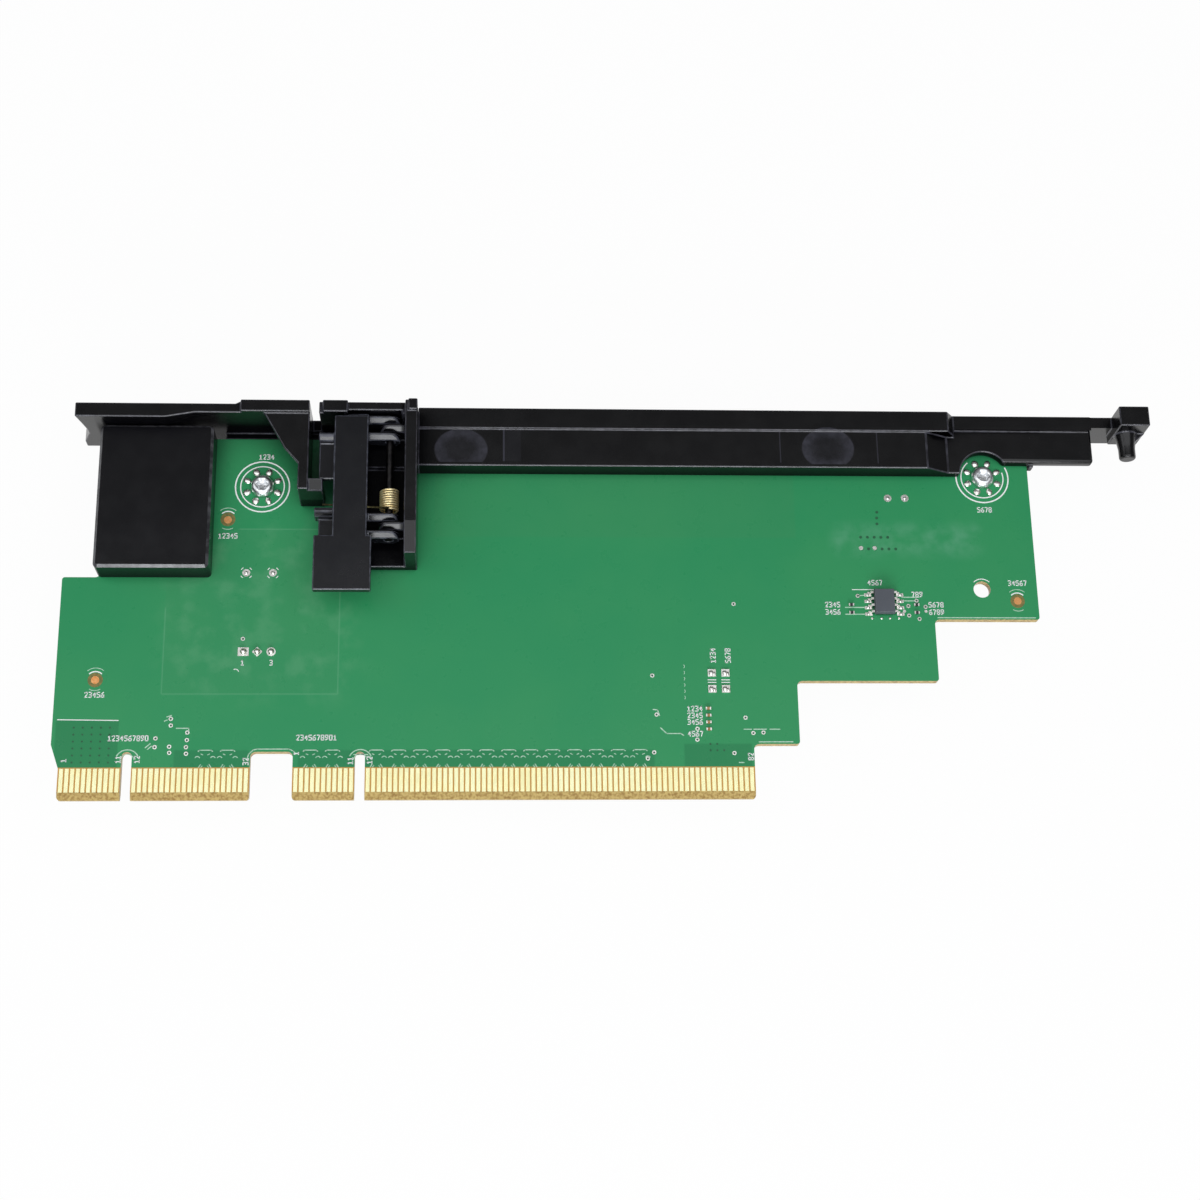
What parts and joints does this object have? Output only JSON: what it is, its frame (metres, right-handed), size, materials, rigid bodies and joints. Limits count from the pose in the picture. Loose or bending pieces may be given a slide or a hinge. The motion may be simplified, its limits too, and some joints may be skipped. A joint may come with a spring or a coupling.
{
  "type": "pcie riser card",
  "caption": "Flat stepped circuit board with gold card edges, a black moulded rail along its top, a hinged sprung latch lever and a long card slot.",
  "frame": {"origin": "under the middle of the whole part's box, in the plane that the card slot's mouth rests on", "axes": "+X along the card edges, from the end with the hooked wall to the end with the guide peg; +Y from the fingers' tips to the bracket; +Z out of the face that carries the latch lever"},
  "size_m": [0.2056, 0.075, 0.024],
  "materials": {
    "board": "satin solder mask over glass laminate",
    "gold": "bright gold plating, lightly rubbed",
    "bracket": "fine matt moulding",
    "lever": "fine matt moulding",
    "pin_steel": "dark, ground",
    "spring_wire": "bright drawn wire, yellow plated",
    "cover": "smooth, slightly smudged",
    "screw_steel": "bright plated",
    "slot_plastic": "matt",
    "pin_gold": "bright gold plating",
    "solder": "bright tin, slightly uneven",
    "chip_plastic": "fine matt",
    "resistor_black": "glazed",
    "capacitor_tan": "fired"
  },
  "bodies": {
    "riser": {"board": "board", "short_edge_pads_gold": "gold", "long_edge_pads_gold": "gold", "bracket": "bracket", "hinge_pin": "pin_steel", "torsion_spring": "spring_wire", "cover_block": "cover", "left_screw": "screw_steel", "right_screw": "screw_steel", "slot_housing": "slot_plastic", "slot_contacts": "gold", "header_block": "slot_plastic", "header_pins": "pin_gold", "header_solder": "solder", "chip_body": "chip_plastic", "chip_leads": "solder", "resistors": "resistor_black", "resistor_ends": "solder", "capacitors": "capacitor_tan", "capacitor_ends": "solder", "spare_pads": "solder", "left_screw_dots": "solder", "right_screw_dots": "solder", "reference_marks": "solder"},
    "lever": {"latch_lever": "lever"}
  },
  "joints": [
    {"name": "latch", "type": "hinge", "parent": "riser", "child": "lever", "pos_m": [-0.04242, 0, 0.01832], "axis": [0, 1, 0], "range_deg": [0, 55], "stiffness_Nm_per_rad": 0.006, "springref_deg": -20.05, "deforming": ["torsion_spring"]}
  ]
}
